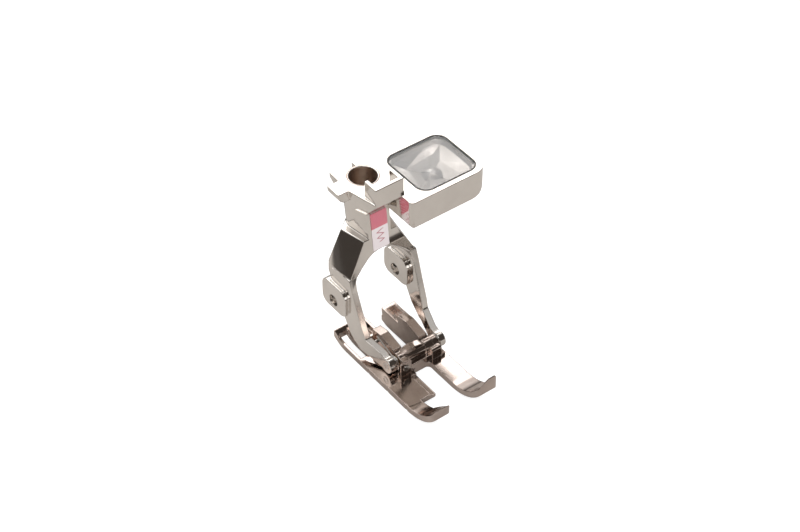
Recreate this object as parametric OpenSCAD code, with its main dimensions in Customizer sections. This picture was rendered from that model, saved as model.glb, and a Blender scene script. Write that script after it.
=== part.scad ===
// Hinged patchwork presser foot with an optical reflector housing.
// Frame: origin on the axis of the shank bore, in the plane of the head's top face.
// +X to the operator's right, +Y towards the back of the machine, +Z up. Millimetres.

/* [Fit on the machine] */
// Diameter of the bore that seats on the presser bar
bore_d = 5.8; // [4.5:0.1:7]
// Depth of the bore below the head's top face
bore_depth = 11; // [8:0.5:12]
// Height of the head's top face above the needle plate
seat_h = 38.6; // [34:0.2:48]
// Distance from the needle back to the bore axis
bore_back = 19.9; // [18.5:0.1:24]

/* [Head] */
// Half width across the rear of the head
head_half_w = 4.75; // [4.4:0.05:6]
// Reach of the left ear from the bore axis
ear_reach = 7.5; // [6.5:0.1:9.2]
// Thickness of the ear
ear_t = 2.5; // [1.8:0.1:3]
// Distance from the bore axis forward to the front of the head
head_front = 8.8; // [8:0.1:10]
// Height of the front lip above the head's top face
lip_h = 3.6; // [2.4:0.1:5]
// Wall of the front lip
lip_wall = 0.85; // [0.5:0.05:1.1]

/* [Shank] */
// Half width of the wishbone across its arms at the hinge
arm_half_w = 7; // [6.8:0.05:7.4]
// Thickness of each arm
arm_t = 1.5; // [1.2:0.05:1.6]
// Depth of the arch top below the head's top face
arch_drop = 14.9; // [14:0.1:17]
// Outward reach of each guide lug from the middle
lug_reach = 9.3; // [8.8:0.1:11]
// Diameter of the seam guide rod hole
guide_d = 2.6; // [1.8:0.1:2.8]

/* [Sole] */
// Needle to the right edge of the sole, a quarter of an inch
seam_allowance = 6.35; // [5:0.05:7]
// Full width of the sole
sole_w = 15.5; // [14.6:0.1:18]
// Thickness of the sole plate
sole_t = 1.3; // [0.9:0.05:1.6]
// Reach of the toes in front of the needle
toe_reach = 15.6; // [13:0.1:18]
// Length of the sole behind the needle
heel_reach = 18.3; // [16.5:0.1:22]
// Width of the needle slot
needle_slot_w = 4.2; // [3:0.1:4.6]

/* [Hinge] */
// Diameter of the hinge pin
pin_d = 1.5; // [1.2:0.05:1.8]
// Distance from the needle back to the hinge pin
hinge_back = 3.3; // [3:0.1:4.5]
// Height of the hinge pin above the needle plate
hinge_h = 3.3; // [3:0.05:4]
// Wire diameter of the levelling spring
spring_wire_d = 0.32; // [0.2:0.02:0.4]

/* [Optical housing] */
// Length of the housing along X
housing_l = 19.2; // [16:0.1:23]
// Depth of the housing along Y
housing_w = 15.7; // [13:0.1:18]
// Height of the housing
housing_h = 6.4; // [5.6:0.1:8]
// Wall of the housing
housing_wall = 0.8; // [0.5:0.05:1.2]
// Drop of the housing's top below the head's top face
housing_drop = 2; // [1:0.1:4]

/* [Hidden] */
$fn = 48;

// Clearance of a running fit, on the radius
run_fit = 0.05;
// Overlap that keeps a cut from leaving a skin
eps = 0.05;
// Fillet sides used inside a hull
hull_fn = 32;

nickel = "silver";

// Heights below the head's top face
z_neck_top = -5.6;
z_waist = -11.6;
z_shoulder = -19;
z_lug_top = -22.6;
lug_h = 6.6;
lug_front = 6.2;
lug_rear = 1.9;
lug_in = 6.3;
lug_mid = (lug_reach + lug_in) / 2;
z_plate = -seat_h;

// Neck sizes
head_edge = 0.9;
lip_l = 3.7;
neck_r = 4;
waist_r = 3.5;
neck_front = 4.75;
slab = 0.2;
front_slope = 0.125;
neck_half_w = 2.75;
arm_rear = 1.1;
arm_bow = 1.6;

// Hinge, seen from the bore
hinge_y = hinge_back - bore_back;
hinge_z = z_plate + hinge_h;
boss_r = pin_d / 2 + 1;
bar_in = arm_half_w - arm_t;
z_bar_top = hinge_z + 3.5;
z_bow = hinge_z + 9.3;
z_end = z_plate + 1.1;

// Guide rod hole and its screws
guide_y = -1.9;
guide_z = z_lug_top - lug_h * 0.66;
screw_d = 1.6;
screw_l = 2.2;

// Label
label_w = 3.9;
label_h = 8.8;
label_t = 0.12;
label_z = -5.9;

// Sole, in the needle's own frame
sole_right = seam_allowance;
sole_left = seam_allowance - sole_w;
slot_left = sole_right - 4.35 - needle_slot_w;
slot_right = slot_left + needle_slot_w;
slot_rear = hinge_back - boss_r - 0.75;
left_toe_w = 3.25;
toe_start = -6.5;
toe_extra = 0.7;
toe_r = 10;
heel_start = 13.8;
heel_r = 7;
feed_front = hinge_back + boss_r - 0.95;
rail_w = 0.6;
window_w = 1.95;
rib_in_left = slot_left - 0.2;
rib_in_right = slot_right;
rib_t = 2;
rib_rear = heel_reach - 1.4;
heel_w = 3.3;

// Bushes, washers and spring on the hinge pin
bush_d = pin_d + 0.9;
bush_l = 3.2;
washer_t = 0.15;
barrel_right = bar_in - washer_t - 0.05;
spring_r = pin_d / 2 + spring_wire_d / 2 + 0.15;
spring_turns = 2;
spring_leg_rise = 16.5;
spring_leg_l = 5.9;
coil_pitch = spring_wire_d + 0.02;
coil_gap = 0.1;
spring_x = rib_in_left - rib_t - coil_gap - spring_wire_d / 2 - (spring_turns - 1) * coil_pitch;

// Spring retainer on the front of the bridge
ret_x = -4;
ret_w = 2.7;
ret_z = sole_t + 1.85;
ret_h = 3.3;
ret_t = 0.35;
rivet_d = 0.8;
rivet_l = 1.2;

// Spring anchor in the left arm
anchor_x0 = -7.4;
anchor_y = hinge_y + 5.1;
anchor_z = hinge_z + spring_r + 1.04;
anchor_d = 0.7;
anchor_l = 1.3;
anchor_out = 1.2;

// Housing, from the bore
housing_x = 3.7;
housing_front = 10.9;
housing_r = 2.8;
housing_r_left = 1;
edge_r = 0.8;
end_r = 4.2;
housing_top = -housing_drop;
cavity_z = housing_top - housing_h + housing_wall;
lens_margin = 0.95;
lens_x0 = housing_x + 3.7;
lens_r = 2.6;
lens_t = 1;
seal_w = 0.3;
floor_t = 0.6;
tray_wall = 0.5;
dome_r = 3.1;
dome_h = 2;
dome_x = housing_x + 11.4;
dome_y = -housing_front + 8.3;
ring_r = 0.95;
ring_bore_r = 0.6;
ring_h = 2.2;
ring_x = dome_x + 1.5;
ring_y = dome_y + 4;
amber_l = 1.5;
amber_w = 1.2;
amber_h = 0.9;
amber_x = dome_x - 3.5;
amber_y = dome_y + 2.1;
dowel_d = 1;
dowel_ys = [-2.4, 2.4];
dowel_z = -3.4;
dowel_x0 = 3;
dowel_x1 = housing_x + 1.6;

// Moves from the bore's frame to the needle's frame on the needle plate
module at_needle() {
    translate([0, -bore_back, z_plate]) children();
}

// Lays a Y-Z outline down as a slab from x0 to x1
module side_slab(x0, x1) {
    translate([x0, 0, 0])
        rotate([90, 0, 90])
            linear_extrude(x1 - x0) children();
}

// Lays an X-Z outline down as a slab from y0 to y1
module front_slab(y0, y1) {
    translate([0, y1, 0])
        rotate([90, 0, 0])
            linear_extrude(y1 - y0) children();
}

// Plain rod along X from x0 to x1
module x_rod(d, x0, x1) {
    translate([x0, 0, 0])
        rotate([0, 90, 0])
            cylinder(d = d, h = x1 - x0);
}

// Rectangle with round corners, from its lower left corner
module round_rect(w, h, r) {
    translate([r, 0]) square([w - 2 * r, h]);
    translate([0, r]) square([w, h - 2 * r]);
    for (x = [r, w - r]) {
        for (y = [r, h - r]) {
            translate([x, y]) circle(r = r);
        }
    }
}

// ---------- shank ----------

// Half width of the head at the front lip
function lip_half_w() = neck_half_w + 0.65;

// Plan of the head without its ear: rear block and tapered front arm
module head_plan() {
    polygon([
        [-head_half_w, head_half_w], [-head_half_w - 0.3, -2.1],
        [-lip_half_w() - 0.2, -head_front], [lip_half_w() + 0.2, -head_front],
        [head_half_w, -2.1], [head_half_w, head_half_w]
    ]);
}

// Distance of the flat front of the neck ahead of the bore axis, at a height
function front_at(z) = neck_front + (z_neck_top + slab - z) * front_slope;

// Section of the neck at one height: round about the bore, flat at the front
module neck_section(r, front) {
    circle(r = r, $fn = hull_fn);
    translate([-neck_half_w, -front]) square([2 * neck_half_w, front]);
}

// Thin section of the neck at its top
module neck_top() {
    translate([0, 0, z_neck_top]) linear_extrude(slab) neck_section(neck_r, neck_front);
}

// Head plate that draws in to the neck, and the neck down to its waist
module head_and_neck() {
    hull() {
        translate([0, 0, -head_edge]) linear_extrude(head_edge) head_plan();
        neck_top();
    }
    hull() {
        neck_top();
        translate([0, 0, z_waist]) linear_extrude(slab) neck_section(waist_r, front_at(z_waist + slab));
    }
}

// Left ear of the head, rounded underneath at its tip
module head_ear() {
    intersection() {
        translate([-ear_reach, -2.1, -ear_t]) cube([ear_reach - 2, 3.75, ear_t]);
        front_slab(-3, 3) {
            translate([-ear_reach + 2.2, -0.4]) circle(r = 2.2);
            translate([-ear_reach, -0.8]) square([ear_reach - 2, 0.8]);
            translate([-ear_reach + 2.2, -ear_t]) square([ear_reach - 4.2, ear_t]);
        }
    }
}

// U-shaped lip that stands on the front of the head, open to the rear
module front_lip() {
    w = lip_half_w();
    difference() {
        translate([-w, -head_front, -eps]) cube([2 * w, lip_l, lip_h + eps]);
        translate([-w + lip_wall, -head_front + lip_wall, -2 * eps])
            cube([2 * (w - lip_wall), lip_l, lip_h + 3 * eps]);
    }
}

// Front view of the arms, from the shoulders down
module arms_front() {
    w = arm_half_w + arm_bow;
    polygon([
        [-w + 0.2, z_shoulder + 0.05], [-w, z_bow], [-w, z_end],
        [w, z_end], [w, z_bow], [w - 0.2, z_shoulder + 0.05]
    ]);
}

// Half of the opening between the arms, seen from the front
module arch_half() {
    w = arm_half_w + arm_bow - arm_t;
    polygon([
        [-eps, -arch_drop], [0.12 * w, -arch_drop], [0.3 * w, -arch_drop - 0.35],
        [0.46 * w, -arch_drop - 1], [0.68 * w, -arch_drop - 2.4], [w - 0.6, -arch_drop - 4.2],
        [w - 0.25, -arch_drop - 5], [w - 0.05, -arch_drop - 7], [w, z_bow], [w, z_end - eps],
        [-eps, z_end - eps]
    ]);
}

// Opening between the arms, seen from the front
module arch_front() {
    arch_half();
    mirror([1, 0, 0]) arch_half();
}

// Plan of the arms, shrunk by an inset: they draw in towards the hinge
module arms_plan(inset) {
    w = arm_half_w + arm_bow - inset;
    t = arm_half_w - inset;
    polygon([
        [-t, -bore_back], [-t, hinge_y + boss_r], [-w + 0.35, -10.2], [-w + 0.1, -6.9], [-w, -1.9],
        [-w + 0.45, arm_rear], [-w + 0.45, 6], [w - 0.45, 6], [w - 0.45, arm_rear],
        [w, -1.9], [w - 0.1, -6.9], [w - 0.35, -10.2], [t, hinge_y + boss_r], [t, -bore_back]
    ]);
}

// Side view of the arms, from the shoulders down to the hinge boss
module arms_side() {
    polygon([
        [-front_at(z_shoulder), z_shoulder + 0.05], [-7.4, -22], [-8.8, z_bow], [-11, z_bar_top],
        [hinge_y + 0.6, hinge_z + boss_r - 0.1], [hinge_y, hinge_z + boss_r],
        [hinge_y, hinge_z - boss_r], [-9.4, hinge_z + 0.1], [-6.6, hinge_z + 2.3],
        [-4.4, -29.4], [-1.6, -24.6], [arm_rear, -21.4], [arm_rear, z_shoulder + 0.05]
    ]);
    translate([hinge_y, hinge_z]) circle(r = boss_r);
}

// Solid that spreads from the waist to the shoulders
module shoulders() {
    w = arm_half_w + arm_bow - 0.6;
    top_ridge = 5.2;
    top = front_at(z_waist + slab);
    low = front_at(z_shoulder + slab);
    hull() {
        translate([0, 0, z_waist]) linear_extrude(slab) {
            neck_section(waist_r, top);
            polygon([
                [-4, -top], [-4.76, top_ridge - top], [-5.35, 0.4],
                [5.35, 0.4], [4.76, top_ridge - top], [4, -top]
            ]);
        }
        translate([0, 0, z_shoulder]) linear_extrude(slab)
            polygon([
                [-w, -low], [-w - 0.44, 3 - low], [-w - 0.5, -0.4], [-w - 0.1, arm_rear],
                [w + 0.1, arm_rear], [w + 0.5, -0.4], [w + 0.44, 3 - low], [w, -low]
            ]);
    }
}

// Outline of a guide lug, seen from the side
module lug_side() {
    difference() {
        translate([-lug_front, z_lug_top - lug_h])
            round_rect(lug_front + lug_rear, lug_h, 1.9);
        translate([-lug_front - 0.4, z_lug_top + 0.2]) circle(r = 1.5);
    }
}

// Both arms below the neck, each with its lug for the seam guide
module wishbone() {
    difference() {
        union() {
            shoulders();
            intersection() {
                front_slab(-bore_back, 6) arms_front();
                side_slab(-lug_reach, lug_reach) arms_side();
                translate([0, 0, z_plate]) linear_extrude(seat_h) arms_plan(0);
            }
        }
        intersection() {
            front_slab(-bore_back, 7) arch_front();
            translate([0, 0, z_plate - 1]) linear_extrude(seat_h) arms_plan(arm_t);
        }
    }
    for (s = [-1, 1]) {
        x0 = s < 0 ? -lug_reach : lug_in;
        side_slab(x0, x0 + lug_reach - lug_in) lug_side();
    }
}

// Casting that seats on the presser bar and carries everything else
module shank() {
    color(nickel) difference() {
        union() {
            head_and_neck();
            head_ear();
            front_lip();
            wishbone();
        }
        translate([0, 0, -bore_depth]) cylinder(d = bore_d, h = bore_depth + eps);
        // slot in the rear edge of the head
        translate([-0.6, head_half_w - 1.45, -3]) cube([1.2, 3, 4]);
        translate([0, hinge_y, hinge_z]) x_rod(pin_d, -arm_half_w - 1, arm_half_w + 1);
        translate([0, guide_y, guide_z]) x_rod(guide_d, -lug_reach - 1, lug_reach + 1);
        // screw holes from the rear of each lug into the guide rod hole
        for (s = [-1, 1]) {
            translate([s * lug_mid, guide_y, guide_z])
                rotate([-90, 0, 0]) cylinder(d = screw_d + 2 * run_fit, h = 8);
        }
        for (y = dowel_ys) {
            translate([0, y, dowel_z]) x_rod(dowel_d, dowel_x0, housing_x);
        }
        translate([anchor_x0, anchor_y, anchor_z]) x_rod(anchor_d, 0, anchor_l + 1);
        // flat that the optical housing is fastened against
        translate([housing_x, -housing_front - 1, housing_top - housing_h - 1])
            cube([4, housing_w + 2, housing_h + 1]);
    }
}

// ---------- small shank fittings ----------

// Pin that the sole tilts on, pressed into both arms
module hinge_pin() {
    color(nickel)
        translate([0, hinge_y, hinge_z]) x_rod(pin_d, -arm_half_w, arm_half_w);
}

// Stub in the left arm that the levelling spring's leg hooks over
module spring_anchor_pin() {
    color(nickel)
        translate([anchor_x0, anchor_y, anchor_z]) x_rod(anchor_d, 0, anchor_l + anchor_out);
}

// Stuck-on label on the front of the neck
module label() {
    color("crimson")
        translate([-label_w / 2, -front_at(label_z), label_z])
            rotate([-atan(front_slope), 0, 0])
                translate([0, -label_t, -label_h]) cube([label_w, label_t, label_h]);
}

// Slotted grub screw that holds the seam guide rod, on one side
module guide_screw(s) {
    color("dimgray")
        translate([s * lug_mid, guide_y + guide_d / 2 + 0.15, guide_z])
            rotate([-90, 0, 0])
                difference() {
                    cylinder(d = screw_d, h = screw_l);
                    translate([-screw_d, -0.15, screw_l - 0.5]) cube([2 * screw_d, 0.3, 1]);
                }
}

module guide_screw_left() {
    guide_screw(-1);
}

module guide_screw_right() {
    guide_screw(1);
}

// ---------- optical housing ----------

// Front view of the housing: flat top, round lower corners, the right one larger
module housing_front_view() {
    x1 = housing_x + housing_l;
    z0 = housing_top - housing_h;
    translate([housing_x + edge_r, z0 + edge_r]) circle(r = edge_r);
    translate([housing_x + edge_r, z0]) square([housing_l - edge_r - end_r, housing_h]);
    translate([housing_x, z0 + edge_r]) square([housing_l - end_r, housing_h - edge_r]);
    translate([x1 - end_r, z0 + end_r]) intersection() {
        translate([-eps, -end_r]) square([end_r + eps, housing_h]);
        union() {
            circle(r = end_r);
            translate([-eps, 0]) square([end_r + eps, housing_h]);
        }
    }
}

// Plan of the housing: the two corners by the neck are the sharper
module housing_plan() {
    translate([housing_x, -housing_front]) {
        round_rect(housing_l, housing_w, housing_r);
        round_rect(housing_l / 2, housing_w, housing_r_left);
    }
}

// Outer form of the housing
module housing_solid() {
    intersection() {
        front_slab(-housing_front - 1, housing_w) housing_front_view();
        translate([0, 0, housing_top - housing_h - 1]) linear_extrude(housing_h + 2) housing_plan();
    }
}

// Plan of the lens opening, shrunk by a gap
module lens_plan(gap) {
    x1 = housing_x + housing_l - lens_margin;
    translate([lens_x0 + gap, -housing_front + lens_margin + 0.2 + gap])
        round_rect(x1 - lens_x0 - 2 * gap, housing_w - 2 * lens_margin - 0.2 - 2 * gap, lens_r - gap);
}

// Metal shell of the housing, open at the top for the lens
module housing_shell() {
    color(nickel) difference() {
        housing_solid();
        translate([0, 0, cavity_z])
            linear_extrude(housing_top - cavity_z + eps) lens_plan(0);
        for (y = dowel_ys) {
            translate([0, y, dowel_z]) x_rod(dowel_d, housing_x - eps, dowel_x1);
        }
    }
}

// Dowels that locate the shell on the side of the neck
module housing_dowels() {
    color(nickel)
        for (y = dowel_ys) {
            translate([0, y, dowel_z]) x_rod(dowel_d, dowel_x0, dowel_x1);
        }
}

// Dark seal round the lens
module lens_seal() {
    color([0.25, 0.24, 0.23])
        translate([0, 0, housing_top - lens_t])
            linear_extrude(lens_t)
                difference() {
                    lens_plan(0);
                    lens_plan(seal_w);
                }
}

// Clear cover of the housing
module lens_cover() {
    color([0.9, 0.9, 0.9, 0.4])
        translate([0, 0, housing_top - lens_t])
            linear_extrude(lens_t) lens_plan(seal_w);
}

// White tray with a faceted floor that throws light back up
module reflector_insert() {
    color([0.85, 0.84, 0.82])
        translate([0, 0, cavity_z])
            difference() {
                linear_extrude(housing_top - lens_t - cavity_z) lens_plan(0);
                translate([0, 0, floor_t]) linear_extrude(housing_h) lens_plan(tray_wall);
            }
}

// Clear dome that stands in the tray below the cover
module light_dome() {
    color([0.9, 0.9, 0.92, 0.5])
        translate([dome_x, dome_y, cavity_z + floor_t])
            intersection() {
                translate([0, 0, -dome_r + dome_h]) sphere(r = dome_r);
                cylinder(r = dome_r, h = dome_h + eps);
            }
}

// Clear ring beside the dome
module clear_ring() {
    color([0.9, 0.9, 0.92, 0.5])
        translate([ring_x, ring_y, cavity_z + floor_t])
            linear_extrude(ring_h)
                difference() {
                    circle(r = ring_r);
                    circle(r = ring_bore_r);
                }
}

// Amber window on the tray's floor
module amber_window() {
    color([0.45, 0.28, 0.16])
        translate([amber_x - amber_l / 2, amber_y - amber_w / 2, cavity_z + floor_t])
            cube([amber_l, amber_w, amber_h]);
}

// ---------- sole ----------

// Side view of the plate: flat middle, toes and heel turned up
module sole_side() {
    translate([toe_start - eps, 0]) square([heel_start - toe_start + 2 * eps, sole_t]);
    intersection() {
        translate([toe_start, sole_t + toe_r])
            difference() {
                circle(r = toe_r + sole_t, $fn = 128);
                circle(r = toe_r, $fn = 128);
            }
        translate([-toe_reach - toe_extra, 0]) square([toe_reach + toe_extra + toe_start, toe_r]);
    }
    intersection() {
        translate([heel_start, sole_t + heel_r])
            difference() {
                circle(r = heel_r + sole_t, $fn = 96);
                circle(r = heel_r, $fn = 96);
            }
        translate([heel_start, 0]) square([heel_reach - heel_start, heel_r]);
    }
}

// Plan of the plate: two toes, the needle slot and the dual feed slot
module sole_plan() {
    difference() {
        union() {
            // left toe, right toe and the plate behind them
            translate([sole_left, -toe_reach])
                round_rect(left_toe_w, toe_reach + 2, 2.4);
            translate([slot_right, -toe_reach - toe_extra])
                round_rect(sole_right - slot_right, toe_reach + toe_extra + 2, 1.6);
            translate([sole_left, -6.9]) square([sole_right - sole_left, 20]);
            translate([sole_left, 0]) square([slot_left - sole_left, heel_reach]);
            translate([slot_right, 0]) square([sole_right - slot_right, rib_rear]);
        }
        // needle slot, open to the front, with a round end
        translate([slot_left, -toe_reach - 1]) square([needle_slot_w, toe_reach + slot_rear]);
        translate([slot_left, slot_rear - 2]) round_rect(needle_slot_w, 2, 0.9);
        // dual feed slot, open to the rear
        translate([slot_left, feed_front]) square([needle_slot_w, heel_reach]);
        // window in the left rear
        translate([sole_left + rail_w, 9.6])
            square([window_w, heel_reach - 9.6 - 0.9]);
        // quarter-inch marks on both edges
        for (n = [-1, 0, 1]) {
            translate([sole_left, n * seam_allowance]) circle(d = 0.5, $fn = 4);
            translate([sole_right, n * seam_allowance]) circle(d = 0.5, $fn = 4);
        }
    }
}

// Side view of a rib: heel, raised block and pivot ear
module rib_side(axle_d) {
    top = sole_t + 2.7;
    block = sole_t + 4.6;
    difference() {
        union() {
            polygon([
                [hinge_back, eps], [heel_start - 0.6, eps], [rib_rear - 1.9, 0.5],
                [rib_rear - 0.8, sole_t + 0.2], [rib_rear - 0.1, sole_t + 1.4],
                [rib_rear, top], [11.3, top], [11.3, block],
                [8.6, block + 0.4], [hinge_back + 0.9, block - 0.6], [hinge_back + 0.9, hinge_h],
                [hinge_back, hinge_h]
            ]);
            translate([hinge_back, hinge_h]) circle(r = boss_r - 0.05);
            translate([hinge_back - boss_r + 0.05, sole_t / 2])
                square([2 * boss_r - 0.1, hinge_h - sole_t / 2]);
        }
        translate([hinge_back, hinge_h]) circle(d = axle_d);
    }
}

// Arched top of the bridge, seen from the front
module bridge_arch() {
    top = hinge_h + boss_r + 0.55;
    polygon([
        [rib_in_left - 0.9, hinge_h], [rib_in_left - 0.9, top - 0.65], [rib_in_left + 0.2, top - 0.15],
        [rib_in_left + 1.3, top], [rib_in_left + 2.7, top - 0.05], [rib_in_left + 3.8, top - 0.3],
        [rib_in_right + 0.4, top - 0.8], [rib_in_right + 2, top - 1.7], [rib_in_right + 2, hinge_h]
    ]);
}

// Both ribs, the bridge between them and the pocket in each rib's heel
module sole_ribs() {
    hole = bush_d;
    difference() {
        union() {
            side_slab(rib_in_left - rib_t, rib_in_left) rib_side(hole);
            side_slab(rib_in_right, rib_in_right + rib_t) rib_side(hole);
            // wide heels behind the blocks
            for (x = [rib_in_left - heel_w, rib_in_right]) {
                side_slab(x, x + heel_w)
                    difference() {
                        rib_side(hole);
                        translate([-1, 0]) square([12.3, 12]);
                    }
            }
        }
        for (x = [rib_in_left - heel_w + 0.6, rib_in_right + 0.6]) {
            translate([x, 11.9, sole_t + 1.4]) cube([heel_w - 1.2, rib_rear - 12.9, 4]);
        }
    }
    // bridge and barrel round the pin
    difference() {
        union() {
            side_slab(rib_in_left - eps, barrel_right)
                translate([hinge_back, hinge_h]) circle(r = boss_r - 0.2);
            side_slab(rib_in_left - eps, rib_in_right + rib_t)
                translate([slot_rear, sole_t / 2])
                    square([feed_front - slot_rear, hinge_h - sole_t]);
            front_slab(hinge_back - 0.9, hinge_back + 0.7) bridge_arch();
            // round-edged stop block in front of the barrel, on the right
            side_slab(sole_right - 3.45, sole_right - 1.15)
                translate([slot_rear - 0.1, sole_t / 2])
                    round_rect(hinge_back - slot_rear, ret_h - 0.1, 0.6);
            side_slab(rib_in_left - rib_t, ret_x + ret_w / 2)
                translate([slot_rear, sole_t / 2])
                    square([hinge_back - slot_rear, ret_h + sole_t / 2]);
        }
        side_slab(sole_left, sole_right)
            translate([hinge_back, hinge_h]) circle(d = hole);
    }
}

// Casting that rests on the cloth
module sole_plate() {
    color([0.72, 0.68, 0.64])
        at_needle() {
            difference() {
                intersection() {
                    side_slab(sole_left, sole_right) sole_side();
                    linear_extrude(toe_r) sole_plan();
                }
                // ledge beside the needle slot
                translate([slot_left - 1.15, -7, sole_t - 0.45]) cube([2, 6.4, 1]);
                // rivet hole
                translate([ret_x, slot_rear, ret_z])
                    rotate([-90, 0, 0]) cylinder(d = rivet_d, h = 1);
            }
            difference() {
                sole_ribs();
                translate([ret_x, slot_rear - 1, ret_z])
                    rotate([-90, 0, 0]) cylinder(d = rivet_d, h = rivet_l + 1);
            }
        }
}

// ---------- fittings of the sole ----------

// Plain bush pressed into one rib, in which the hinge pin turns
module pin_bush(x0) {
    color("goldenrod")
        at_needle()
            side_slab(x0, x0 + bush_l)
                difference() {
                    translate([hinge_back, hinge_h]) circle(d = bush_d);
                    translate([hinge_back, hinge_h]) circle(r = pin_d / 2 + run_fit);
                }
}

module pin_bush_left() {
    pin_bush(rib_in_left - rib_t);
}

module pin_bush_right() {
    pin_bush(barrel_right - bush_l);
}

// Thin washers that centre the sole between the arms
module shim_washers() {
    color("silver")
        at_needle()
            for (x = [-bar_in, bar_in - washer_t]) {
                side_slab(x, x + washer_t)
                    difference() {
                        translate([hinge_back, hinge_h]) circle(r = boss_r - 0.15);
                        translate([hinge_back, hinge_h]) circle(r = pin_d / 2);
                    }
            }
}

// Plate riveted to the bridge in front of the spring
module spring_retainer() {
    color([0.7, 0.68, 0.66])
        at_needle()
            translate([0, slot_rear - ret_t, 0])
                difference() {
                    translate([ret_x - ret_w / 2, 0, sole_t])
                        cube([ret_w, ret_t, ret_h]);
                    translate([ret_x, -1, ret_z])
                        rotate([-90, 0, 0]) cylinder(d = rivet_d, h = 3);
                }
}

// Rivet that holds the spring retainer
module retainer_rivet() {
    color([0.6, 0.58, 0.55])
        at_needle()
            translate([ret_x, slot_rear - ret_t - 0.18, ret_z])
                rotate([-90, 0, 0]) {
                    cylinder(d = rivet_d, h = ret_t + 0.18 + rivet_l);
                    cylinder(d = 1.5, h = 0.18);
                }
}

// Coil round the hinge pin, with one leg on the sole and one on the arm
module levelling_spring() {
    color([0.75, 0.72, 0.7])
        at_needle() {
            translate([spring_x, hinge_back, hinge_h])
                rotate([0, 90, 0])
                    for (n = [0 : spring_turns - 1]) {
                        translate([0, 0, n * coil_pitch])
                            rotate_extrude()
                                translate([spring_r, 0])
                                    circle(d = spring_wire_d + 0.04, $fn = 12);
                    }
            // rear leg, over the anchor pin
            translate([spring_x, hinge_back, hinge_h + spring_r])
                rotate([-90 + spring_leg_rise, 0, 0]) cylinder(d = spring_wire_d, h = spring_leg_l);
            // front leg, down behind the retainer
            translate([spring_x + (spring_turns - 1) * coil_pitch, hinge_back - spring_r, sole_t + 0.3])
                cylinder(d = spring_wire_d, h = hinge_h - sole_t - 0.3);
        }
}

shank();
hinge_pin();
spring_anchor_pin();
label();
housing_shell();
housing_dowels();
reflector_insert();
light_dome();
clear_ring();
amber_window();
lens_seal();
lens_cover();
guide_screw_left();
guide_screw_right();
sole_plate();
pin_bush_left();
pin_bush_right();
shim_washers();
spring_retainer();
retainer_rivet();
levelling_spring();
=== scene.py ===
"""Looks for a hinged patchwork presser foot with an optical housing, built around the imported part."""

import logging
import math
from dataclasses import dataclass
from enum import Enum

import bmesh
import bpy
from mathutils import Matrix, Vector


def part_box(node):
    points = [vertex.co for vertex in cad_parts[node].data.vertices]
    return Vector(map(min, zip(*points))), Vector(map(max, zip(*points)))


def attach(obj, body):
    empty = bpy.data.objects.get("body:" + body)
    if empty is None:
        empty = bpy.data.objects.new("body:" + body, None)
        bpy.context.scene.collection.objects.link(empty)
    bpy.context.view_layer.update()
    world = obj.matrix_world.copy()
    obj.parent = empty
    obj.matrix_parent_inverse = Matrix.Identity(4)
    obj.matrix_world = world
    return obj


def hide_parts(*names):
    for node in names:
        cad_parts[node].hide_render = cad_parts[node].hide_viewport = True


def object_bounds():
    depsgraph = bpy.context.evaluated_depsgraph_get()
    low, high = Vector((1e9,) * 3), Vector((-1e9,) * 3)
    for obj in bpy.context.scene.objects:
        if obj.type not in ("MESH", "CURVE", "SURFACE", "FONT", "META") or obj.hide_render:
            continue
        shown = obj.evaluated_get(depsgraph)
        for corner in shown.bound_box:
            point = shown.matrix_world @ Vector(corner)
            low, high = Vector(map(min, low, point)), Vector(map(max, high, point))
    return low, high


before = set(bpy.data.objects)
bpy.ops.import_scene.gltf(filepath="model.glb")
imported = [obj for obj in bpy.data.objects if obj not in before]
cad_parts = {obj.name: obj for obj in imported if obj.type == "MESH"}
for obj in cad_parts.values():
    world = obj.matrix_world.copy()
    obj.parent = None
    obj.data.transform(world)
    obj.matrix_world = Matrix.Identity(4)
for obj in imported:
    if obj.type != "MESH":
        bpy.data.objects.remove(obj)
CAD_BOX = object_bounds()

LOG = logging.getLogger("presser_foot")
MM = 0.001
FLAT_DEG = 0.6  # neighbouring faces that bend less than this are merged

Triple = tuple[float, float, float]


class Slot(Enum):
    """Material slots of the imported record."""

    NICKEL = "polished_nickel"
    SOLE = "sole_nickel"
    PIN = "pin_steel"
    SCREW = "screw_steel"
    BRONZE = "bush_bronze"
    SPRING = "spring_steel"
    LABEL = "label_print"
    WHITE = "reflector_white"
    CLEAR = "clear_plastic"
    AMBER = "amber_plastic"
    SEAL = "seal_rubber"


# ---------------------------------------------------------------- shader helpers


def link(tree: bpy.types.NodeTree, out: bpy.types.NodeSocket, into: bpy.types.NodeSocket) -> None:
    """Joins two sockets."""
    tree.links.new(out, into)


def math_node(
    tree: bpy.types.NodeTree, operation: str, a: object, b: object = 0.0, clamp: bool = False
) -> bpy.types.NodeSocket:
    """Adds a Math node.

    Args:
        tree: Node tree to add it to.
        operation: Name of the operation.
        a: First value or the socket that gives it.
        b: Second value or the socket that gives it.
        clamp: Whether the result is held between 0 and 1.

    Returns:
        The output socket.
    """
    node = tree.nodes.new("ShaderNodeMath")
    node.operation = operation
    node.use_clamp = clamp
    for socket, value in zip(node.inputs, (a, b)):
        if isinstance(value, bpy.types.NodeSocket):
            link(tree, value, socket)
        else:
            socket.default_value = value
    return node.outputs[0]


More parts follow.
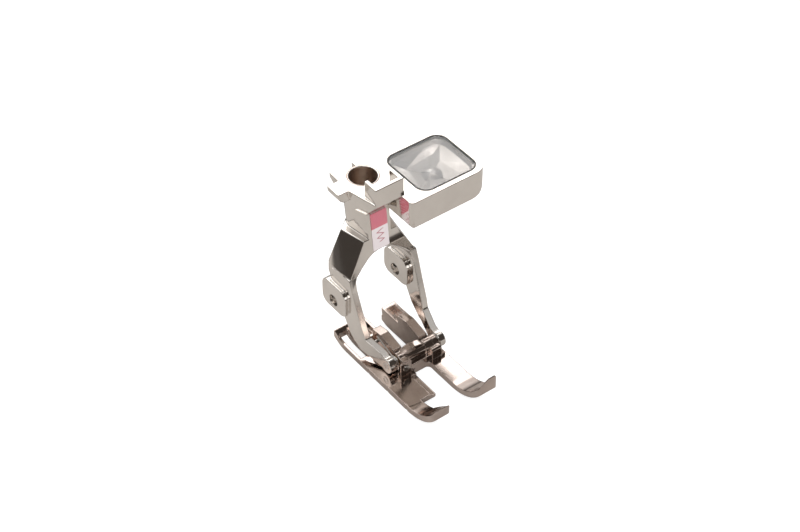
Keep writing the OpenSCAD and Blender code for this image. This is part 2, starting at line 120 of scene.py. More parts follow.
def mix_colour(tree: bpy.types.NodeTree, factor: object, a: object, b: object) -> bpy.types.NodeSocket:
    """Adds a colour Mix node.

    Args:
        tree: Node tree to add it to.
        factor: Share of b, or the socket that gives it.
        a: First colour or its socket.
        b: Second colour or its socket.

    Returns:
        The output colour socket.
    """
    node = tree.nodes.new("ShaderNodeMix")
    node.data_type = "RGBA"
    for socket, value in ((node.inputs[0], factor), (node.inputs[6], a), (node.inputs[7], b)):
        if isinstance(value, bpy.types.NodeSocket):
            link(tree, value, socket)
        elif isinstance(value, tuple):
            socket.default_value = (*value[:3], 1.0)
        else:
            socket.default_value = value
    return node.outputs[2]


def ramp(
    tree: bpy.types.NodeTree, value: bpy.types.NodeSocket, low: float, high: float
) -> bpy.types.NodeSocket:
    """Maps a value to 0 at low and 1 at high, and holds it between them.

    Args:
        tree: Node tree to add it to.
        value: Socket to map.
        low: Value that gives 0.
        high: Value that gives 1.

    Returns:
        The mapped socket.
    """
    node = tree.nodes.new("ShaderNodeMapRange")
    node.inputs[1].default_value = low
    node.inputs[2].default_value = high
    link(tree, value, node.inputs[0])
    return node.outputs[0]


class SurfaceGroups:
    """Shader node groups that more than one finish uses, each built once."""

    CLOUD_SPAN = (0.3, 0.7)
    SCRATCH_SPAN = (0.52, 0.72)

    def __init__(self) -> None:
        """Builds every group."""
        self.wear = self.build_wear()
        self.marks = self.build_marks()

    @staticmethod
    def shell(name: str, inputs: dict[str, float], outputs: tuple[str, ...]) -> bpy.types.NodeTree:
        """Makes an empty group with float sockets.

        Args:
            name: Name of the group.
            inputs: Input names with their default values.
            outputs: Output names.

        Returns:
            The group with its input and output nodes, named in and out.
        """
        tree = bpy.data.node_groups.new(name, "ShaderNodeTree")
        for key, value in inputs.items():
            socket = tree.interface.new_socket(key, in_out="INPUT", socket_type="NodeSocketFloat")
            socket.default_value = value
        for key in outputs:
            tree.interface.new_socket(key, in_out="OUTPUT", socket_type="NodeSocketFloat")
        tree.nodes.new("NodeGroupInput").name = "in"
        tree.nodes.new("NodeGroupOutput").name = "out"
        return tree

    def build_wear(self) -> bpy.types.NodeTree:
        """Builds the handling haze: soft cloudy patches and fine grain.

        Returns:
            The group, with outputs Cloud and Grain.
        """
        tree = self.shell("handling_haze", {"Patch": 260.0, "Fine": 5200.0}, ("Cloud", "Grain"))
        coords = tree.nodes.new("ShaderNodeTexCoord")
        for key, scale, detail in (("Cloud", "Patch", 3.0), ("Grain", "Fine", 2.0)):
            noise = tree.nodes.new("ShaderNodeTexNoise")
            noise.inputs["Detail"].default_value = detail
            link(tree, coords.outputs["Object"], noise.inputs["Vector"])
            link(tree, tree.nodes["in"].outputs[scale], noise.inputs["Scale"])
            link(tree, ramp(tree, noise.outputs["Fac"], *self.CLOUD_SPAN), tree.nodes["out"].inputs[key])
        return tree

    def build_marks(self) -> bpy.types.NodeTree:
        """Builds fine polishing scratches that run along one direction, broken up by noise.

        Returns:
            The group, with output Scratch.
        """
        tree = self.shell("polishing_marks", {"Along": 300.0, "Across": 9000.0}, ("Scratch",))
        coords = tree.nodes.new("ShaderNodeTexCoord")
        stretch = tree.nodes.new("ShaderNodeCombineXYZ")
        inside = tree.nodes["in"].outputs
        link(tree, inside["Across"], stretch.inputs["X"])
        link(tree, inside["Along"], stretch.inputs["Y"])
        link(tree, inside["Across"], stretch.inputs["Z"])
        scaled = tree.nodes.new("ShaderNodeVectorMath")
        scaled.operation = "MULTIPLY"
        link(tree, coords.outputs["Object"], scaled.inputs[0])
        link(tree, stretch.outputs[0], scaled.inputs[1])
        noise = tree.nodes.new("ShaderNodeTexNoise")
        noise.inputs["Scale"].default_value = 1.0
        noise.inputs["Detail"].default_value = 2.0
        link(tree, scaled.outputs[0], noise.inputs["Vector"])
        link(tree, ramp(tree, noise.outputs["Fac"], *self.SCRATCH_SPAN), tree.nodes["out"].inputs["Scratch"])
        return tree


@dataclass(frozen=True)
class Metal:
    """A bare or plated metal finish.

    Args:
        name: Name of the material.
        colour: Colour of its reflections.
        stain: Colour in the cloudy patches.
        rough: Roughness where it is cleanest.
        haze: Roughness added by patches and scratches.
        bump: Depth of the scratches in metres.
        soft: Radius of the polished edges in metres.
        strength: Strength of the scratches.
        grain: Share of the fine grain beside the scratches.
        edge_samples: Samples taken for the polished edges.
    """

    name: str
    colour: Triple
    stain: Triple
    rough: float
    haze: float
    bump: float = 0.000002
    soft: float = 0.0003
    strength: float = 0.35
    grain: float = 0.4
    edge_samples: int = 6

    def make(self, groups: SurfaceGroups) -> bpy.types.Material:
        """Builds the material.

        Args:
            groups: Shared node groups.

        Returns:
            The material.
        """
        material = bpy.data.materials.new(self.name)
        material.use_nodes = True
        tree = material.node_tree
        shader = tree.nodes["Principled BSDF"]
        shader.inputs["Metallic"].default_value = 1.0
        wear = tree.nodes.new("ShaderNodeGroup")
        wear.node_tree = groups.wear
        marks = tree.nodes.new("ShaderNodeGroup")
        marks.node_tree = groups.marks
        cloud = wear.outputs["Cloud"]
        link(tree, mix_colour(tree, cloud, self.colour, self.stain), shader.inputs["Base Color"])
        haze = math_node(tree, "MULTIPLY", math_node(tree, "ADD", cloud, marks.outputs[0]), self.haze)
        link(tree, math_node(tree, "ADD", haze, self.rough, True), shader.inputs["Roughness"])
        bump = tree.nodes.new("ShaderNodeBump")
        bump.inputs["Distance"].default_value = self.bump
        bump.inputs["Strength"].default_value = self.strength
        edge = tree.nodes.new("ShaderNodeBevel")
        edge.samples = self.edge_samples
        edge.inputs["Radius"].default_value = self.soft
        link(tree, edge.outputs[0], bump.inputs["Normal"])
        grain = math_node(tree, "MULTIPLY", wear.outputs["Grain"], self.grain)
        height = math_node(tree, "ADD", marks.outputs[0], grain)
        link(tree, height, bump.inputs["Height"])
        link(tree, bump.outputs[0], shader.inputs["Normal"])
        return material


@dataclass(frozen=True)
class Moulding:
    """An opaque or clear moulded finish.

    Args:
        name: Name of the material.
        colour: Base colour.
        stain: Colour in the cloudy patches.
        rough: Roughness where it is cleanest.
        haze: Roughness added by patches.
        clear: Transmission weight.
        ior: Index of refraction.
        bump: Depth of the moulded grain in metres.
        strength: Strength of the moulded grain.
    """

    name: str
    colour: Triple
    stain: Triple
    rough: float
    haze: float
    clear: float = 0.0
    ior: float = 1.49
    bump: float = 0.000003
    strength: float = 0.25

    def make(self, groups: SurfaceGroups) -> bpy.types.Material:
        """Builds the material.

        Args:
            groups: Shared node groups.

        Returns:
            The material.
        """
        material = bpy.data.materials.new(self.name)
        material.use_nodes = True
        tree = material.node_tree
        shader = tree.nodes["Principled BSDF"]
        shader.inputs["Transmission Weight"].default_value = self.clear
        shader.inputs["IOR"].default_value = self.ior
        wear = tree.nodes.new("ShaderNodeGroup")
        wear.node_tree = groups.wear
        cloud = wear.outputs["Cloud"]
        link(tree, mix_colour(tree, cloud, self.colour, self.stain), shader.inputs["Base Color"])
        rough = math_node(tree, "ADD", math_node(tree, "MULTIPLY", cloud, self.haze), self.rough, True)
        link(tree, rough, shader.inputs["Roughness"])
        bump = tree.nodes.new("ShaderNodeBump")
        bump.inputs["Distance"].default_value = self.bump
        bump.inputs["Strength"].default_value = self.strength
        link(tree, wear.outputs["Grain"], bump.inputs["Height"])
        link(tree, bump.outputs[0], shader.inputs["Normal"])
        return material


@dataclass(frozen=True)
class LabelPrint:
    """Printed film: a hatched crimson block over a pale block with a plain stitch mark.

    Args:
        split: Height in metres where crimson meets the pale block.
        bottom: Height of the label's lower edge.
        hatch: Pitch of the hatch.
        hatch_span: Part of the hatch's wave over which its colour changes.
        pitch: Length of one zigzag of the stitch.
        reach: How far the stitch swings to each side.
        thread: Half of the stitch line's width.
        run: Half of the stitch's length.
        lift: Height of the stitch's middle over the middle of the pale block.
        blur: Half of the width of a printed edge.
        crimson: Colour of the upper block.
        crimson_line: Colour of its hatch.
        pale: Colour of the lower block.
        ink: Colour of the stitch.
        rough: Roughness where it is cleanest.
        haze: Roughness added by patches.
        coat: Weight of the clear film.
        coat_rough: Roughness of the clear film.
    """

    split: float
    bottom: float
    hatch: float = 0.66 * MM
    hatch_span: tuple[float, float] = (0.1, 0.7)
    pitch: float = 1.3 * MM
    reach: float = 0.8 * MM
    thread: float = 0.2 * MM
    run: float = 1.5 * MM
    lift: float = 0.5 * MM
    blur: float = 0.02 * MM
    crimson: Triple = (0.62, 0.04, 0.10)
    crimson_line: Triple = (0.92, 0.52, 0.58)
    pale: Triple = (0.95, 0.87, 0.89)
    ink: Triple = (0.45, 0.06, 0.10)
    rough: float = 0.3
    haze: float = 0.15
    coat: float = 0.3
    coat_rough: float = 0.2

    def make(self, groups: SurfaceGroups) -> bpy.types.Material:
        """Builds the material.

        Args:
            groups: Shared node groups.

        Returns:
            The material.
        """
        material = bpy.data.materials.new("label_film")
        material.use_nodes = True
        tree = material.node_tree
        shader = tree.nodes["Principled BSDF"]
        shader.inputs["Coat Weight"].default_value = self.coat
        shader.inputs["Coat Roughness"].default_value = self.coat_rough
        coords = tree.nodes.new("ShaderNodeTexCoord")
        apart = tree.nodes.new("ShaderNodeSeparateXYZ")
        link(tree, coords.outputs["Object"], apart.inputs[0])
        x, z = apart.outputs["X"], apart.outputs["Z"]
        above = ramp(tree, z, self.split - 2 * self.blur, self.split + 2 * self.blur)
        print_colour = mix_colour(tree, above, self.stitched(tree, x, z), self.hatched(tree, x, z))
        link(tree, print_colour, shader.inputs["Base Color"])
        wear = tree.nodes.new("ShaderNodeGroup")
        wear.node_tree = groups.wear
        haze = math_node(tree, "MULTIPLY", wear.outputs["Cloud"], self.haze)
        rough = math_node(tree, "ADD", haze, self.rough)
        link(tree, rough, shader.inputs["Roughness"])
        return material

    def hatched(
        self, tree: bpy.types.NodeTree, x: bpy.types.NodeSocket, z: bpy.types.NodeSocket
    ) -> bpy.types.NodeSocket:
        """Colours the upper block, with diagonal lines.

        Args:
            tree: Node tree to add to.
            x: Place across the label.
            z: Height.

        Returns:
            The colour socket.
        """
        slant = math_node(tree, "SUBTRACT", z, x)
        wave = math_node(tree, "SINE", math_node(tree, "MULTIPLY", slant, 2 * math.pi / self.hatch))
        return mix_colour(tree, ramp(tree, wave, *self.hatch_span), self.crimson, self.crimson_line)

    def stitched(
        self, tree: bpy.types.NodeTree, x: bpy.types.NodeSocket, z: bpy.types.NodeSocket
    ) -> bpy.types.NodeSocket:
        """Colours the lower block, with a plain zigzag stitch.

        Args:
            tree: Node tree to add to.
            x: Place across the label.
            z: Height.

        Returns:
            The colour socket.
        """
        middle = (self.split + self.bottom) / 2 + self.lift
        swing = math_node(tree, "PINGPONG", math_node(tree, "ADD", z, 1.0), self.pitch / 2)
        slope = 4 * self.reach / self.pitch
        zigzag = math_node(tree, "SUBTRACT", math_node(tree, "MULTIPLY", swing, slope), self.reach)
        aside = math_node(tree, "ABSOLUTE", math_node(tree, "SUBTRACT", x, zigzag))
        along = math_node(tree, "ABSOLUTE", math_node(tree, "SUBTRACT", z, middle))
        inside = (self.below(tree, aside, self.thread), self.below(tree, along, self.run))
        mark = math_node(tree, "MULTIPLY", *inside)
        return mix_colour(tree, mark, self.pale, self.ink)

    def below(
        self, tree: bpy.types.NodeTree, value: bpy.types.NodeSocket, limit: float
    ) -> bpy.types.NodeSocket:
        """Gives 1 where a value is below a limit, with a soft edge."""
        return math_node(tree, "SUBTRACT", 1.0, ramp(tree, value, limit - self.blur, limit + self.blur))


# ---------------------------------------------------------------- mesh helpers


def finish_piece(
    piece: bpy.types.Object, body: str, material: bpy.types.Material
) -> bpy.types.Object:
    """Gives a new piece its finish and the body that it rides on.

    Args:
        piece: The new mesh object.
        body: Name of the body that it moves with.
        material: Finish to assign.

    Returns:
        The piece.
    """
    piece.data.materials.clear()
    piece.data.materials.append(material)
    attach(piece, body)
    return piece


def mark_creases(mesh: bpy.types.Mesh, crease: float, angle: float) -> None:
    """Shades a mesh smooth and keeps its shallow creases sharp.

    Args:
        mesh: Mesh to shade.
        crease: Edges flatter than this, in degrees, are shaded over.
        angle: Edges steeper than this are left to the rounding.
    """
    work = bmesh.new()
    work.from_mesh(mesh)
    for face in work.faces:
        face.smooth = True
    for edge in work.edges:
        bend = math.degrees(edge.calc_face_angle(0.0))
        edge.smooth = not crease < bend <= angle
    work.to_mesh(mesh)
    work.free()


def softened_copy(
    node: str,
    name: str,
    width_mm: float,
    segments: int = 3,
    angle: float = 42.0,
    crease: float = 13.0,
    clamp: bool = True,
    weld_mm: float = 0.002,
) -> bpy.types.Object:
    """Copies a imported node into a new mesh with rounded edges.

    Args:
        node: Node to copy.
        name: Name of the new piece.
        width_mm: Width of the rounding.
        segments: Number of strips in each rounding.
        angle: Edges sharper than this, in degrees, are rounded.
        crease: Edges flatter than this, in degrees, are shaded over.
        clamp: Whether a rounding stops where it would meet another.
        weld_mm: Corners closer than this are made one.

    Returns:
        The new object, which stands for the node.
    """
    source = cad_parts[node]
    mesh = source.data.copy()
    mesh.name = name
    mesh.materials.clear()
    work = bmesh.new()
    work.from_mesh(mesh)
    bmesh.ops.remove_doubles(work, verts=work.verts, dist=weld_mm * MM)
    bmesh.ops.dissolve_limit(work, angle_limit=math.radians(FLAT_DEG), verts=work.verts, edges=work.edges)
    work.to_mesh(mesh)
    work.free()
    if mesh.has_custom_normals:
        mesh.attributes.remove(mesh.attributes["custom_normal"])
    mark_creases(mesh, crease, angle)
    piece = bpy.data.objects.new(name, mesh)
    bpy.context.scene.collection.objects.link(piece)
    bevel = piece.modifiers.new("round", "BEVEL")
    bevel.width = width_mm * MM
    bevel.segments = segments
    bevel.limit_method = "ANGLE"
    bevel.angle_limit = math.radians(angle)
    bevel.use_clamp_overlap = clamp
    bevel.harden_normals = True
    bake(piece)
    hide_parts(node)
    return piece


def new_piece(name: str, work: bmesh.types.BMesh, smooth: bool = True) -> bpy.types.Object:
    """Turns a working mesh into an object in the scene.

    Args:
        name: Name of the object.
        work: Working mesh, which is freed.
        smooth: Whether its faces are shaded smooth.

    Returns:
        The object.
    """
    bmesh.ops.recalc_face_normals(work, faces=work.faces)
    for face in work.faces:
        face.smooth = smooth
    mesh = bpy.data.meshes.new(name)
    work.to_mesh(mesh)
    work.free()
    piece = bpy.data.objects.new(name, mesh)
    bpy.context.scene.collection.objects.link(piece)
    return piece


def turned(work: bmesh.types.BMesh, centre: Vector, profile: list[tuple[float, float]], sides: int) -> None:
    """Adds a turned surface about an upright axis.

    Args:
        work: Working mesh to add to.
        centre: Point on the axis.
        profile: Radius and height pairs in millimetres, along the closed outline.
        sides: Number of strips round the axis.
    """
    rings = []
    for radius, height in profile:
        ring = []
        for k in range(sides):
            turn = 2 * math.pi * k / sides
            offset = Vector((radius * math.cos(turn), radius * math.sin(turn), height)) * MM
            ring.append(work.verts.new(centre + offset))
        rings.append(ring)
    for low, high in zip(rings, rings[1:] + rings[:1]):
        for k in range(sides):
            n = (k + 1) % sides
            work.faces.new((low[k], low[n], high[n], high[k]))


def bake(piece: bpy.types.Object) -> None:
    """Applies the piece's modifiers to its mesh.

    Args:
        piece: Object whose mesh is replaced by the result.
    """
    graph = bpy.context.evaluated_depsgraph_get()
    mesh = bpy.data.meshes.new_from_object(piece.evaluated_get(graph))
    piece.modifiers.clear()
    old = piece.data
    piece.data = mesh
    bpy.data.meshes.remove(old)


# ---------------------------------------------------------------- the foot


class Finishes:
    """Every finish of the foot, by slot."""

    CRIMSON_HEIGHT = 3.65 * MM

    def __init__(self, groups: SurfaceGroups) -> None:
        """Builds all finishes.

        Args:
            groups: Shared node groups.
        """
        bottom, top = (corner[2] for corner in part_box("label"))
        plans = {
            Slot.NICKEL: Metal("polished_nickel_plate", (0.80, 0.76, 0.72), (0.74, 0.70, 0.66), 0.09, 0.05),
            # The sole's nickel is painted darker and browner than the shank's: painted shade for what its
            # faces reflect under the foot.
            Slot.SOLE: Metal("sole_nickel_painted_shade", (0.62, 0.53, 0.48), (0.48, 0.40, 0.36), 0.07, 0.05),
            Slot.PIN: Metal("ground_pin_steel", (0.70, 0.68, 0.66), (0.60, 0.58, 0.55), 0.18, 0.08),
            Slot.SCREW: Metal("blackened_screw_steel", (0.30, 0.28, 0.26), (0.20, 0.19, 0.18), 0.3, 0.12),
            Slot.BRONZE: Metal("bush_bronze_metal", (0.66, 0.45, 0.24), (0.45, 0.30, 0.17), 0.25, 0.12),
            Slot.SPRING: Metal("spring_wire_steel", (0.72, 0.70, 0.67), (0.58, 0.55, 0.52), 0.2, 0.08),
            # The reflector's white is painted a mid grey: painted shade for the dim light inside the housing
            # under the cover.
            Slot.WHITE: Metal("reflector_pearl_painted_shade", (0.53, 0.49, 0.465), (0.40, 0.36, 0.335), 0.36, 0.12),
            Slot.CLEAR: Moulding(
                "clear_cover_plastic", (0.97, 0.97, 0.965), (0.94, 0.94, 0.93), 0.01, 0.03, clear=1.0
            ),
            Slot.AMBER: Moulding("amber_window_moulding", (0.26, 0.16, 0.10), (0.40, 0.28, 0.2), 0.3, 0.1),
            Slot.SEAL: Moulding("seal_rubber_moulding", (0.05, 0.045, 0.04), (0.09, 0.085, 0.08), 0.5, 0.15),
            Slot.LABEL: LabelPrint(top - self.CRIMSON_HEIGHT, bottom),
        }
        self.by_slot = {slot: plan.make(groups) for slot, plan in plans.items()}
        self.bore = Metal("bored_face_metal", (0.84, 0.71, 0.62), (0.62, 0.50, 0.42), 0.3, 0.12).make(groups)

    def get(self, slot: Slot) -> bpy.types.Material:
        """Returns the finish for a slot."""
        return self.by_slot[slot]


Plan = tuple[str, Slot, float]


def rounded_pieces(finishes: Finishes, body: str, plans: tuple[Plan, ...]) -> list[bpy.types.Object]:
    """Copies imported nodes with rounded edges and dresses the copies.

    Args:
        finishes: Finishes by slot.
        body: Name of the body that they move with.
        plans: For each node its name, its slot and the width of its rounding in millimetres.

    Returns:
        The new pieces.
    """
    made = []
    for node, slot, width_mm in plans:
        piece = softened_copy(node, f"{node}_piece", width_mm)
        made.append(finish_piece(piece, body, finishes.get(slot)))
    return made


@dataclass
class Shank:
    """Head, neck, wishbone and what is fixed to them. Sizes are in millimetres, angles in degrees."""

    finishes: Finishes
    body: str = "shank"
    casting_edge: float = 0.14
    casting_crease: float = 20.0
    casting_weld: float = 0.09
    bore_r: float = 2.9
    bore_depth: float = 11.0
    bore_sides: int = 96
    skin: float = 0.05
    gap: float = 0.01
    rim_w: float = 0.46
    rim_h: float = 0.08
    rim_flat: float = 0.26
    rim_wall: float = 0.1
    chamfer: float = 0.24
    land: float = 0.12
    marks: int = 26
    marks_top: float = 0.4
    marks_ends: float = 0.5
    mark_h: float = 0.2
    ridge: float = 0.015
    furrow: float = 0.005
    foot_gap: float = 0.02

    def bore_outline(self) -> list[tuple[float, float]]:
        """Draws the outline of the bore's skin: countersunk ring, turning marks, foot and back.

        Returns:
            Radius and height pairs.
        """
        r, foot = self.bore_r, self.foot_gap - self.bore_depth
        face, back = r - self.skin, r - self.gap
        rim = r + self.rim_w
        outline = [(rim, 0.0), (rim - self.rim_h, self.rim_h), (r + self.rim_flat, self.rim_h)]
        outline += [(face, -self.chamfer), (face, -self.chamfer - self.land)]
        for k in range(self.marks):
            height = -self.marks_top - (self.bore_depth - self.marks_ends) * k / self.marks
            outline += [(face + self.ridge, height), (face - self.furrow, height - self.mark_h)]
        outline += [(face, foot), (back, foot), (back, -self.marks_top), (rim - self.rim_wall, -self.gap)]
        return outline

    def bore_face(self) -> bpy.types.Object:
        """Builds the machined face of the bore: a thin skin with a bright countersunk ring at its mouth.

        Returns:
            The new piece.
        """
        work = bmesh.new()
        turned(work, Vector((0, 0, 0)), self.bore_outline(), self.bore_sides)
        piece = new_piece("bore_face", work)
        return finish_piece(piece, self.body, self.finishes.bore)

    def build(self) -> list[bpy.types.Object]:
        """Builds the casting and its small fittings.

        Returns:
            The new pieces.
        """
        casting = softened_copy(
            "shank",
            "shank_piece",
            self.casting_edge,
            crease=self.casting_crease,
            clamp=False,
            weld_mm=self.casting_weld,
        )
        made = [finish_piece(casting, self.body, self.finishes.get(Slot.NICKEL))]
        fittings = (
            ("hinge_pin", Slot.PIN, 0.1),
            ("spring_anchor_pin", Slot.PIN, 0.08),
            ("label", Slot.LABEL, 0.03),
            ("shim_washers", Slot.PIN, 0.03),
        )
        return made + rounded_pieces(self.finishes, self.body, fittings) + [self.bore_face()]


@dataclass
class OpticalHousing:
    """Housing with its clear cover and the faceted reflector under it.

    Sizes are in millimetres, and shares are of the full size of the tray. The tray's rim goes down in
    levels, each a share and a depth under the top. Its facets meet at a ring of corners, with a depth
    for each, and at one low point, placed from the middle and the floor of the tray.
    """

    finishes: Finishes
    edge: float = 0.35
    body: str = "shank"
    corner_power: float = 2 / 5
    sides: int = 48
    first_side: int = 2
    levels: tuple[tuple[float, float], ...] = ((0.985, 0.05), (0.94, 0.05), (0.90, 1.1))
    corner_depths: tuple[float, ...] = (2.3, 1.5, 2.9, 1.7, 2.5, 1.4, 2.7, 1.9)
    corner_shares: tuple[float, ...] = (0.52, 0.60, 0.68)
    low_point: Triple = (0.6, 0.9, 0.9)
    floor_gap: float = 0.05

    def tray_box(self) -> tuple[Vector, Vector]:
        """Returns the corners of the space that the reflector fills."""
        low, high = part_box("reflector_insert")
        return Vector(low), Vector(high)

    def rim_point(self, turn: float, shrink: float) -> Vector:
        """Gives a point on the tray's round-cornered outline.

        Args:
            turn: Angle about the tray's middle.
            shrink: Share of the full size.

        Returns:
            The point, at height 0.
        """
        low, high = self.tray_box()
        half = (high - low) / 2
        middle = (high + low) / 2
        c, s = math.cos(turn), math.sin(turn)
        x = math.copysign(abs(c) ** self.corner_power, c) * half.x * shrink
        y = math.copysign(abs(s) ** self.corner_power, s) * half.y * shrink
        return Vector((middle.x + x, middle.y + y, 0.0))

    def rim(self, work: bmesh.types.BMesh, top: float) -> list[list[bmesh.types.BMVert]]:
        """Adds the tray's rim, from its outer edge down to where the facets start.

        Args:
            work: Working mesh to add to.
            top: Height of the tray's top.

        Returns:
            The rings of corners, outermost first.
        """
        rings = []
        for shrink, depth in self.levels:
            ring = []
            for k in range(self.sides):
                point = self.rim_point(2 * math.pi * k / self.sides, shrink)
                ring.append(work.verts.new((point.x, point.y, top - depth * MM)))
            rings.append(ring)
        for outer, inner in zip(rings, rings[1:]):
            for k in range(self.sides):
                n = (k + 1) % self.sides
                work.faces.new((outer[k], outer[n], inner[n], inner[k]))
        return rings

    def facets(self, work: bmesh.types.BMesh, edge: list[bmesh.types.BMVert]) -> None:
        """Adds the flat facets between the rim's lower edge and the low point.

        Args:
            work: Working mesh to add to.
            edge: Corners of the rim's lower edge.
        """
        low, high = self.tray_box()
        count = len(self.corner_depths)
        step = self.sides // count
        corners = []
        for k, depth in enumerate(self.corner_depths):
            share = self.corner_shares[k % len(self.corner_shares)]
            point = self.rim_point(2 * math.pi * (k * step + self.first_side) / self.sides, share)
            corners.append(work.verts.new((point.x, point.y, high.z - depth * MM)))
        middle = (low + high) / 2
        x, y, z = (size * MM for size in self.low_point)
        deep = work.verts.new((middle.x + x, middle.y + y, low.z + z))
        for k in range(count):
            n = (k + 1) % count
            start = k * step + self.first_side
            for j in range(step):
                a, b = edge[(start + j) % self.sides], edge[(start + j + 1) % self.sides]
                work.faces.new((a, b, corners[k] if j < step // 2 else corners[n]))
            work.faces.new((edge[(start + step // 2) % self.sides], corners[n], corners[k]))
            work.faces.new((corners[k], corners[n], deep))

    def reflector(self) -> bpy.types.Object:
        """Builds the reflector: a tray whose walls fall in flat facets to an off-centre low point.

        Returns:
            The new piece.
        """
        low, high = self.tray_box()
        work = bmesh.new()
        rings = self.rim(work, high.z)
        self.facets(work, rings[-1])
        outer = rings[0]
        under = [work.verts.new((v.co.x, v.co.y, low.z + self.floor_gap * MM)) for v in outer]
        for k in range(self.sides):
            n = (k + 1) % self.sides
            work.faces.new((outer[n], outer[k], under[k], under[n]))
        work.faces.new(under)
        piece = new_piece("reflector_piece", work, smooth=False)
        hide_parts("reflector_insert")
        return finish_piece(piece, self.body, self.finishes.get(Slot.WHITE))

    def build(self) -> list[bpy.types.Object]:
        """Builds the housing's pieces.

        Returns:
            The new pieces.
        """
        parts = (
            ("housing_shell", Slot.NICKEL, self.edge),
            ("lens_seal", Slot.SEAL, 0.05),
            ("lens_cover", Slot.CLEAR, 0.15),
            ("light_dome", Slot.CLEAR, 0.05),
            ("clear_ring", Slot.CLEAR, 0.05),
            ("amber_window", Slot.AMBER, 0.15),
            ("housing_dowels", Slot.PIN, 0.05),
        )
        return rounded_pieces(self.finishes, self.body, parts) + [self.reflector()]


@dataclass
class Sole:
    """Tilting sole with its bushes, spring retainer and rivet."""

    finishes: Finishes
    edge: float = 0.16
    body: str = "sole"

    def build(self) -> list[bpy.types.Object]:
        """Builds the sole's pieces.

        Returns:
            The new pieces.
        """
        parts = (
            ("sole_plate", Slot.SOLE, self.edge),
            ("pin_bush_left", Slot.BRONZE, 0.06),
            ("pin_bush_right", Slot.BRONZE, 0.06),
            ("spring_retainer", Slot.SOLE, 0.12),
            ("retainer_rivet", Slot.PIN, 0.07),
        )
        return rounded_pieces(self.finishes, self.body, parts)


@dataclass
class GuideScrew:
    """One slotted grub screw in a lug."""

    finishes: Finishes
    side: str
    edge: float = 0.06

    def build(self) -> list[bpy.types.Object]:
        """Builds the screw.

        Returns:
            The new piece.
        """
        node = f"guide_screw_{self.side}"
        return rounded_pieces(self.finishes, node, ((node, Slot.SCREW, self.edge),))


@dataclass
class LevellingSpring:
    """Light torsion coil round the hinge pin."""

    finishes: Finishes
    edge: float = 0.01
    body: str = "shank"

    def build(self) -> list[bpy.types.Object]:
        """Builds the spring.

        Returns:
            The new piece.
        """
        return rounded_pieces(self.finishes, self.body, (("levelling_spring", Slot.SPRING, self.edge),))


# ---------------------------------------------------------------- studio


@dataclass(frozen=True)
class Softbox:
    """One square soft light.

    Args:
        name: Name of the light.
        place: Where it stands.
        size: Side of the square in metres.
        watts: Its power.
        mirrored: Whether polished faces show it.
    """

    name: str
    place: Triple
    size: float
    watts: float
    mirrored: bool = True


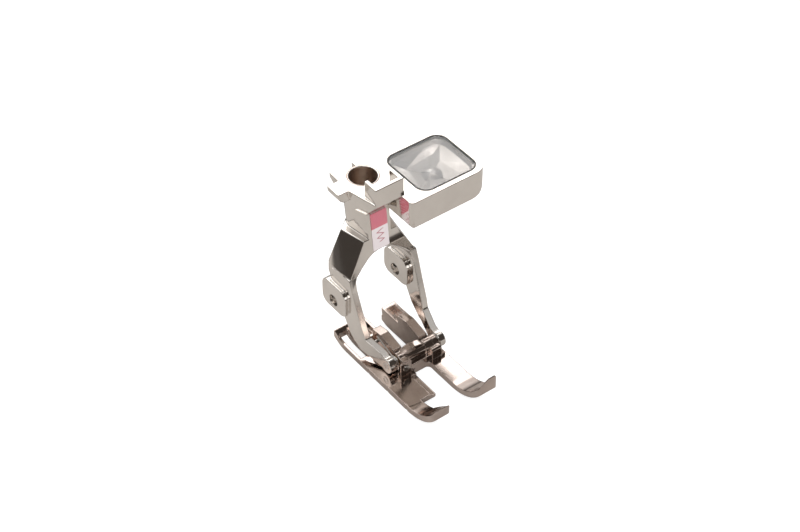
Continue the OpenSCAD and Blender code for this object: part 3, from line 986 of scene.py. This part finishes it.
@dataclass
class Studio:
    """Pale table, soft light and the camera. Sizes are in metres.

    The room is bright above and behind the table, and dim to the sides, to the front and near the
    horizon. Polished faces see the table as pale in a painted pool of light round the foot, and dim
    beyond it, where shade is painted into the table's colour.
    """

    table_radius: float = 0.55
    table_sides: int = 96
    table_gap: float = 0.0002
    table_tone: Triple = (0.50, 0.475, 0.45)
    table_rough: float = 0.9
    seen_tone: Triple = (0.6, 0.6, 0.6)
    seen_glow: float = 0.7
    # Painted light on the table: a pale pool round the foot, with painted shade beyond it.
    painted_light_pool_radius: float = 0.085
    painted_light_pool_fade: float = 1.5
    bright_side: Triple = (0.1, 0.75, 0.65)
    dim_edge: float = 0.45
    bright_edge: float = 0.8
    horizon_edge: float = 0.25
    bright_tone: Triple = (1.0, 0.99, 0.975)
    dim_tone: Triple = (0.05, 0.043, 0.038)
    room_strength: float = 1.15
    lights: tuple[Softbox, ...] = (
        Softbox("key_light", (0.25, 0.45, 0.65), 0.7, 2.9),
        Softbox("fill_light", (-0.55, -0.35, 0.75), 0.6, 2.5),
        Softbox("front_light", (-0.12, -0.5, 0.3), 0.4, 2.3, mirrored=False),
    )
    light_aim: Triple = (0.0, -0.01, -0.02)
    lens_mm: float = 90.0
    sensor_mm: float = 36.0
    clip_near: float = 0.01
    eye: Triple = (-0.1754, -0.2448, 0.2509)
    turn_deg: float = -37.0
    tip_deg: float = 47.6

    def build(self) -> None:
        """Builds the table, the lights and the camera."""
        self.table()
        self.world()
        for softbox in self.lights:
            self.light(softbox)
        self.camera()

    def table(self) -> None:
        """Builds the round pale table under the foot."""
        work = bmesh.new()
        bmesh.ops.create_circle(work, cap_ends=True, radius=self.table_radius, segments=self.table_sides)
        mesh = bpy.data.meshes.new("table")
        work.to_mesh(mesh)
        work.free()
        table = bpy.data.objects.new("table", mesh)
        table.location.z = CAD_BOX[0][2] - self.table_gap
        bpy.context.scene.collection.objects.link(table)
        material = bpy.data.materials.new("table_white")
        material.use_nodes = True
        tree = material.node_tree
        shader = tree.nodes["Principled BSDF"]
        coords = tree.nodes.new("ShaderNodeTexCoord")
        reach = tree.nodes.new("ShaderNodeVectorMath")
        reach.operation = "LENGTH"
        link(tree, coords.outputs["Object"], reach.inputs[0])
        # Painted shade: past the painted pool of light, the table's colour goes to the dim tone.
        painted_shade_far = ramp(tree, reach.outputs["Value"], self.painted_light_pool_radius, self.painted_light_pool_radius * self.painted_light_pool_fade)
        link(tree, mix_colour(tree, painted_shade_far, self.table_tone, self.dim_tone), shader.inputs["Base Color"])
        shader.inputs["Roughness"].default_value = self.table_rough
        white = tree.nodes.new("ShaderNodeBsdfDiffuse")
        white.inputs["Color"].default_value = (*self.seen_tone, 1.0)
        lift = tree.nodes.new("ShaderNodeEmission")
        lift.inputs["Strength"].default_value = self.seen_glow
        glow = tree.nodes.new("ShaderNodeAddShader")
        link(tree, white.outputs[0], glow.inputs[0])
        link(tree, lift.outputs[0], glow.inputs[1])
        seen = tree.nodes.new("ShaderNodeLightPath")
        blend = tree.nodes.new("ShaderNodeMixShader")
        link(tree, seen.outputs["Is Camera Ray"], blend.inputs[0])
        link(tree, shader.outputs[0], blend.inputs[1])
        link(tree, glow.outputs[0], blend.inputs[2])
        link(tree, blend.outputs[0], tree.nodes["Material Output"].inputs["Surface"])
        mesh.materials.append(material)

    def world(self) -> None:
        """Builds the room: bright towards one side above, dim elsewhere and near the horizon."""
        world = bpy.data.worlds.new("room")
        bpy.context.scene.world = world
        world.use_nodes = True
        tree = world.node_tree
        coords = tree.nodes.new("ShaderNodeTexCoord")
        towards = tree.nodes.new("ShaderNodeVectorMath")
        towards.operation = "DOT_PRODUCT"
        towards.inputs[1].default_value = Vector(self.bright_side).normalized()
        link(tree, coords.outputs["Generated"], towards.inputs[0])
        apart = tree.nodes.new("ShaderNodeSeparateXYZ")
        link(tree, coords.outputs["Generated"], apart.inputs[0])
        over = ramp(tree, apart.outputs["Z"], 0.0, self.horizon_edge)
        side = ramp(tree, towards.outputs["Value"], self.dim_edge, self.bright_edge)
        bright = math_node(tree, "MULTIPLY", side, over)
        back = tree.nodes["Background"]
        link(tree, mix_colour(tree, bright, self.dim_tone, self.bright_tone), back.inputs["Color"])
        back.inputs["Strength"].default_value = self.room_strength

    def light(self, softbox: Softbox) -> None:
        """Adds one soft light that faces the foot.

        Args:
            softbox: Its name, place, size and power.
        """
        data = bpy.data.lights.new(softbox.name, "AREA")
        data.size = softbox.size
        data.energy = softbox.watts
        lamp = bpy.data.objects.new(softbox.name, data)
        lamp.location = softbox.place
        lamp.visible_glossy = softbox.mirrored
        towards = Vector(self.light_aim) - Vector(softbox.place)
        lamp.rotation_euler = towards.to_track_quat("-Z", "Y").to_euler()
        bpy.context.scene.collection.objects.link(lamp)

    def camera(self) -> None:
        """Adds the camera at the viewing angle."""
        data = bpy.data.cameras.new("view")
        data.lens = self.lens_mm
        data.sensor_width = self.sensor_mm
        data.clip_start = self.clip_near
        camera = bpy.data.objects.new("view", data)
        camera.location = self.eye
        camera.rotation_euler = (math.radians(self.tip_deg), 0.0, math.radians(self.turn_deg))
        bpy.context.scene.collection.objects.link(camera)
        bpy.context.scene.camera = camera
        bpy.context.scene.view_settings.view_transform = "Standard"


def main() -> None:
    """Builds the foot and the studio."""
    logging.basicConfig(level=logging.INFO, format="%(message)s")
    finishes = Finishes(SurfaceGroups())
    builders = (
        Shank(finishes),
        OpticalHousing(finishes),
        Sole(finishes),
        GuideScrew(finishes, "left"),
        GuideScrew(finishes, "right"),
        LevellingSpring(finishes),
    )
    for builder in builders:
        for piece in builder.build():
            LOG.info("%s: %s, %d faces", type(builder).__name__, piece.name, len(piece.data.polygons))
    Studio().build()


if __name__ == "__main__":
    main()
